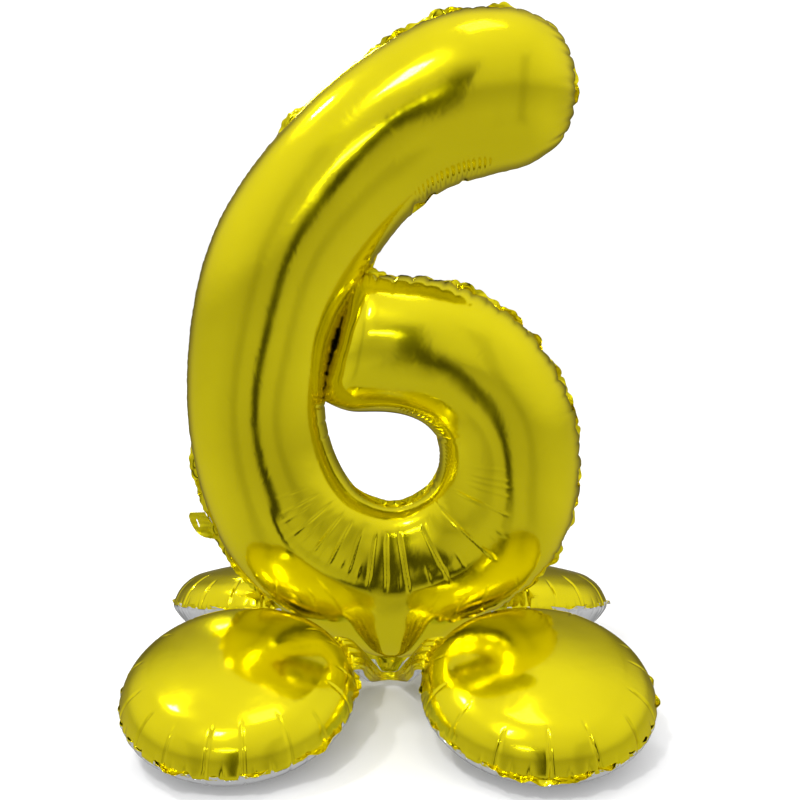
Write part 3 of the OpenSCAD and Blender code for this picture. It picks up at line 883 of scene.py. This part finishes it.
def sheet_grid(nu, nv, point):
    return np.array([[point(u, v) for v in np.linspace(0, 1, nv)] for u in np.linspace(0, 1, nu)], float)


def turned(P, axis, degrees):
    a = math.radians(degrees)
    c, s = math.cos(a), math.sin(a)
    x, y, z = P[..., 0], P[..., 1], P[..., 2]
    if axis == "x":
        return np.stack([x, y * c - z * s, y * s + z * c], axis=-1)
    return np.stack([x * c + z * s, y, -x * s + z * c], axis=-1)


def make_tab():
    def point(u, v):
        z = 10 + 24 * v
        half = 9 if v < .33 else 9 + 8 * (v - .33) / .67
        x = (2 * u - 1) * half
        y = .35 * math.sin(5.5 * u + 3 * v) + .18 * math.sin(17 * u - 4 * v)
        return x, y, z
    P = sheet_grid(41, 35, point)
    ob = build("joining_tab_sheet", P.reshape(-1, 3), grid_faces(41, 35), GOLD_SEAL, thick=1.0, inward=False)
    crisp(ob)
    done(ob, "base", "gold_film", "joining_tab")


def make_number_tail():
    edge = np.array([[15, -24], [18, -21], [20, -15], [20, -9], [19, -3], [17, 2], [14, 7], [10, 11], [6, 14], [.6, 17]], float)
    s = np.r_[0, np.cumsum(np.linalg.norm(np.diff(edge, axis=0), axis=1))]
    s /= s[-1]
    nu, nv = 34, 64
    u = np.linspace(0, 1, nu)[:, None]
    v = np.linspace(0, 1, nv)[None]
    R = np.stack([np.interp(v[0], s, edge[:, 0]), np.interp(v[0], s, edge[:, 1])], axis=-1)
    L = np.stack([np.full(nv, .6), np.interp(v[0], [0, 1], [-17, 17])], axis=-1)
    X = L[None] * (1 - u[..., None]) + R[None] * u[..., None]
    curl = 2.6 * np.maximum(X[..., 0] - 5, 0) ** 1.5 / 58 * np.sin(.16 * X[..., 1] + .9) + .35 * np.sin(.5 * X[..., 1] + .3 * X[..., 0])
    for name, side, nodename in (("number_tail_front_foil", 1, "number_tail_front_ply"), ("number_tail_back_foil", -1, "number_tail_back_ply")):
        part = .28 + .9 * smooth(X[..., 0], 9, 20) * (.6 + .4 * np.sin(.3 * X[..., 1]))
        P = np.concatenate([X, (curl + side * part)[..., None]], axis=-1)
        q = grid_faces(nu, nv)
        mid = P.reshape(-1, 3)[q].mean(axis=1)
        keep = ~((np.abs(mid[:, 0] - 13 - .1 * (mid[:, 1] + 10)) < .75) & (np.abs(mid[:, 1] + 10) < 4.2))
        W = turned(turned(P.reshape(-1, 3), "x", 90), "y", 152) + np.array([-190, 0, 184])
        q = q[keep]
        q = facing(W, q, np.array([0, -side, 0.0]))
        ob = build(name, W, q, GOLD_SEAL, thick=.3)
        crisp(ob)
        done(ob, "figure_tail", "gold_film", nodename)


def make_base_tail(fb, sx, sy):
    at = np.array([sx * LOBE_X, sy * (LOBE_Y - (LOBE_R + BORDER) * math.cos(LOBE_TILT)) - sy * 1.6,
                   LOBE_Z + (LOBE_R + BORDER) * math.sin(LOBE_TILT) - 1])
    for kind, side, mat in (("gold", 1, GOLD_SEAL), ("silver", -1, SILVER)):
        def point(u, v):
            x = .8 + 32 * u
            y = (v - .5) * 28
            corner = 1.6 * max(0, abs(v - .5) * 2 - .8) / .2 * max(0, u - .93) / .07
            z = side * .35 + .45 * math.sin(2.6 * u + 4 * v) * u + .22 * math.sin(11 * v + u) * (1 - .5 * u)
            return x - corner, y, z
        P = sheet_grid(36, 40, point).reshape(-1, 3)
        W = turned(turned(P, "x", sy * 90), "y", 90) + at
        q = grid_faces(36, 40)
        n0 = turned(turned(np.array([[0, 0, side * 1.0]]), "x", sy * 90), "y", 90)[0]
        q = facing(W, q, n0)
        ob = build(f"{fb}_tail_{kind}_foil", W, q, mat, thick=.28)
        crisp(ob)
        done(ob, f"{fb}_tail", f"{kind}_film", f"{fb}_tail_{kind}_ply")


make_figure()
sims = [inflate_lobe(11), inflate_lobe(31)]
make_lobe("front_left", -1, -1, sims[0], .4, False)
make_lobe("front_right", 1, -1, sims[1], 1.1, False)
make_lobe("back_left", -1, 1, sims[1], 2.6, True)
make_lobe("back_right", 1, 1, sims[0], 4.0, True)
for sy in (-1, 1):
    for sx in (-1, 1):
        for gold in (True, False):
            fbn, lrn = ("front" if sy < 0 else "back"), ("left" if sx < 0 else "right")
            make_neck(f"{fbn}_{lrn}_neck_{'gold' if gold else 'silver'}_skin", sx, sy, gold,
                      40 + 7 * (sy + 1) + 3 * (sx + 1) + (1 if gold else 0))
make_tab()
make_number_tail()
make_base_tail("front", 1, -1)
make_base_tail("back", -1, 1)
for n in ("number_valve_front_ply", "number_valve_back_ply", "front_valve_upper_ply", "front_valve_lower_ply",
          "back_valve_upper_ply", "back_valve_lower_ply"):
    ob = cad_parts[n]
    for k in range(max(1, len(ob.material_slots))):
        if ob.material_slots:
            ob.material_slots[k].material = CLEAR


# ------------------------------------------------------------------ floor, world, lights, camera
def make_floor():
    me = bpy.data.meshes.new("studio_floor")
    n = 48
    rings = [0.0, .4, .8, 1.4, 2.5, 5, 10, 25, 60]
    V = [(0, 0, -.0002)]
    for r in rings[1:]:
        V += [(r * math.cos(2 * math.pi * k / n), r * math.sin(2 * math.pi * k / n), -.0002) for k in range(n)]
    Fc = [(0, 1 + k, 1 + (k + 1) % n) for k in range(n)]
    for j in range(len(rings) - 2):
        a, b = 1 + j * n, 1 + (j + 1) * n
        Fc += [(a + k, b + k, b + (k + 1) % n, a + (k + 1) % n) for k in range(n)]
    me.from_pydata(V, [], Fc)
    m = bpy.data.materials.new("studio_floor_paper")
    m.use_nodes = True
    t = m.node_tree
    sh = t.nodes["Principled BSDF"]
    sh.inputs["Roughness"].default_value = .9
    no = node(t, "ShaderNodeTexNoise", in_Scale=3.0, in_Detail=5.0)
    ramp = node(t, "ShaderNodeValToRGB")
    ramp.color_ramp.elements[0].color, ramp.color_ramp.elements[1].color = (.90, .90, .90, 1), (.93, .93, .93, 1)
    t.links.new(no.outputs["Fac"], ramp.inputs["Fac"])
    t.links.new(ramp.outputs["Color"], sh.inputs["Base Color"])
    me.materials.append(m)
    ob = bpy.data.objects.new("studio_floor", me)
    bpy.context.scene.collection.objects.link(ob)
    ob.visible_glossy = False


def make_world():
    w = bpy.data.worlds.new("studio")
    bpy.context.scene.world = w
    w.use_nodes = True
    t = w.node_tree
    t.nodes.clear()
    out = node(t, "ShaderNodeOutputWorld")
    co = node(t, "ShaderNodeTexCoord")
    sep = node(t, "ShaderNodeSeparateXYZ")
    t.links.new(co.outputs["Generated"], sep.inputs[0])
    # what the foil mirrors: an even pale room, brighter overhead, with a narrow dark gap towards the front and the back
    up = node(t, "ShaderNodeValToRGB")
    r = up.color_ramp
    r.elements[0].position, r.elements[0].color = .0, (.50, .50, .50, 1)
    r.elements[1].position, r.elements[1].color = 1.0, (.95, .95, .95, 1)
    for pos, v in ((.30, .52), (.44, .44), (.52, .40), (.62, .60), (.78, .72), (.88, .80)):
        e = r.elements.new(pos)
        e.color = (v, v, v, 1)
    mz = node(t, "ShaderNodeMapRange")
    mz.inputs["From Min"].default_value, mz.inputs["From Max"].default_value = -1, 1
    t.links.new(sep.outputs["Z"], mz.inputs["Value"])
    t.links.new(mz.outputs[0], up.inputs["Fac"])
    side = node(t, "ShaderNodeMath", operation="ABSOLUTE")
    t.links.new(sep.outputs["X"], side.inputs[0])
    ms = node(t, "ShaderNodeValToRGB")
    ms.color_ramp.interpolation = "EASE"
    ms.color_ramp.elements[0].position, ms.color_ramp.elements[0].color = .03, (.08, .08, .08, 1)
    ms.color_ramp.elements[1].position, ms.color_ramp.elements[1].color = 1.0, (1.0, 1.0, 1.0, 1)
    for pos, v in ((.15, 1.0), (.38, 1.0), (.47, .80), (.52, .80), (.64, 1.0)):
        e = ms.color_ramp.elements.new(pos)
        e.color = (v, v, v, 1)
    t.links.new(side.outputs[0], ms.inputs["Fac"])
    tall = node(t, "ShaderNodeMath", operation="ABSOLUTE")
    t.links.new(sep.outputs["Z"], tall.inputs[0])
    mt = node(t, "ShaderNodeMapRange", interpolation_type="SMOOTHSTEP")
    mt.inputs["From Min"].default_value, mt.inputs["From Max"].default_value = .25, .70
    t.links.new(tall.outputs[0], mt.inputs["Value"])
    gap = node(t, "ShaderNodeMath", operation="MAXIMUM")
    t.links.new(ms.outputs[0], gap.inputs[0])
    t.links.new(mt.outputs[0], gap.inputs[1])
    edge = node(t, "ShaderNodeMapRange", interpolation_type="SMOOTHSTEP")
    edge.inputs["From Min"].default_value, edge.inputs["From Max"].default_value = .55, .98
    edge.inputs["To Min"].default_value, edge.inputs["To Max"].default_value = 1.08, 1.28
    t.links.new(side.outputs[0], edge.inputs["Value"])
    far = node(t, "ShaderNodeMapRange", interpolation_type="SMOOTHSTEP")
    far.inputs["From Min"].default_value, far.inputs["From Max"].default_value = .35, .95
    far.inputs["To Min"].default_value, far.inputs["To Max"].default_value = 1.0, .46
    t.links.new(sep.outputs["Y"], far.inputs["Value"])
    mf = node(t, "ShaderNodeMath", operation="MULTIPLY")
    t.links.new(gap.outputs[0], mf.inputs[0])
    t.links.new(far.outputs[0], mf.inputs[1])
    m0 = node(t, "ShaderNodeMath", operation="MULTIPLY")
    t.links.new(mf.outputs[0], m0.inputs[0])
    t.links.new(edge.outputs[0], m0.inputs[1])
    mul = node(t, "ShaderNodeMath", operation="MULTIPLY")
    t.links.new(up.outputs["Color"], mul.inputs[0])
    t.links.new(m0.outputs[0], mul.inputs[1])
    refl = node(t, "ShaderNodeBackground")
    refl.inputs["Color"].default_value = (1.0, .935, .90, 1)
    t.links.new(mul.outputs[0], refl.inputs["Strength"])
    plain = node(t, "ShaderNodeBackground")
    plain.inputs["Color"].default_value = (1, 1, 1, 1)
    plain.inputs["Strength"].default_value = 1.14
    lp = node(t, "ShaderNodeLightPath")
    mix = node(t, "ShaderNodeMixShader")
    t.links.new(lp.outputs["Is Glossy Ray"], mix.inputs["Fac"])
    t.links.new(plain.outputs[0], mix.inputs[1])
    t.links.new(refl.outputs[0], mix.inputs[2])
    t.links.new(mix.outputs[0], out.inputs[0])


def softbox(name, loc, target, size, power, size_y=None):
    L = bpy.data.lights.new(name, "AREA")
    L.shape = "RECTANGLE"
    L.size, L.size_y = size, size_y or size
    L.energy = power
    ob = bpy.data.objects.new(name, L)
    ob.location = loc
    ob.rotation_euler = (Vector(target) - Vector(loc)).to_track_quat("-Z", "Y").to_euler()
    bpy.context.scene.collection.objects.link(ob)


make_floor()
make_world()
softbox("soft_left", (-.62, -1.25, 2.08), (0, 0, .35), .22, 13, .30)
softbox("soft_front", (-.30, -1.75, .95), (0, 0, .55), .30, 1.1, .07)
softbox("soft_side", (-1.25, .12, 2.0), (0, 0, .2), .20, 9)
softbox("soft_top", (.1, -.2, 2.4), (0, 0, 0), .45, 2.5)
softbox("soft_back", (-.6, 1.9, 1.5), (0, 0, .4), .4, 7)

cam = bpy.data.cameras.new("camera")
cam.lens, cam.sensor_width = 46, 36
cam_ob = bpy.data.objects.new("camera", cam)
cam_ob.location = (.0115, -1.064, .497)
cam_ob.rotation_euler = (math.radians(90 - 9.4), 0, 0)
bpy.context.scene.collection.objects.link(cam_ob)
bpy.context.scene.camera = cam_ob
bpy.context.scene.view_settings.view_transform = "Standard"
